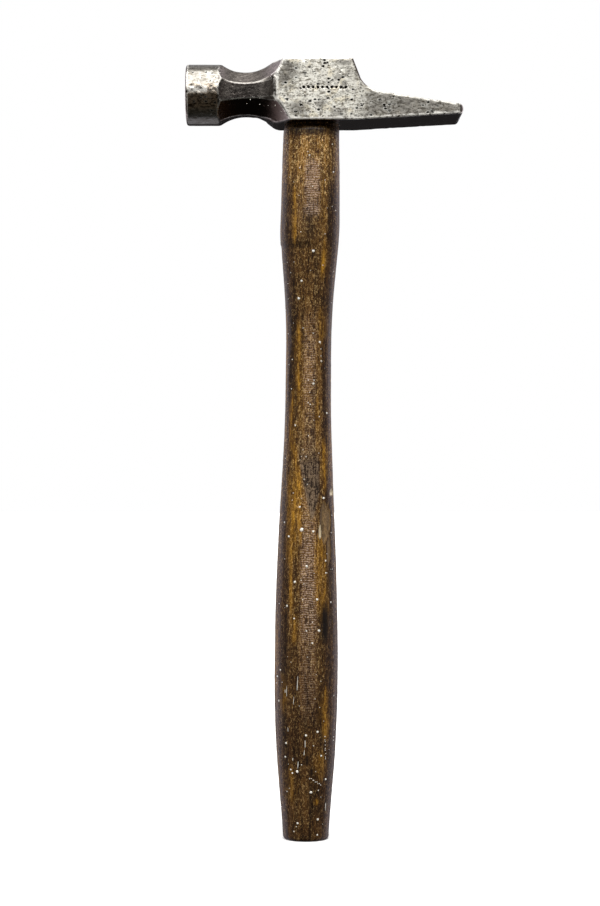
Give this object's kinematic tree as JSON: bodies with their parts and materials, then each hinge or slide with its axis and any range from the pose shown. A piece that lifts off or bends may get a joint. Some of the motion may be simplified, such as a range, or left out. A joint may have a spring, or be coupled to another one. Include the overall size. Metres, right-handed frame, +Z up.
{
  "type": "cross-pein hammer",
  "caption": "Cross-pein hand hammer: steel head with a round striking face and a wedge pein, on a waisted oval wooden handle.",
  "frame": {"origin": "centre of the flat end of the handle", "axes": "+Z up the handle to the head, +X to the pein, -X to the striking face"},
  "size_m": [0.1141, 0.0254, 0.3229],
  "materials": {
    "forged_steel": "ground and worn steel, pitted, dark patina in the neck and below",
    "handle_wood": "dark oiled ash, worn, with paint specks",
    "wedge_wood": "dry end grain",
    "wedge_iron": "rusty, hammered flat"
  },
  "bodies": {
    "root": {"head": "forged_steel", "handle": "handle_wood", "wooden_wedge": "wedge_wood", "iron_wedge_face_side": "wedge_iron", "iron_wedge_pein_side": "wedge_iron"}
  },
  "joints": []
}
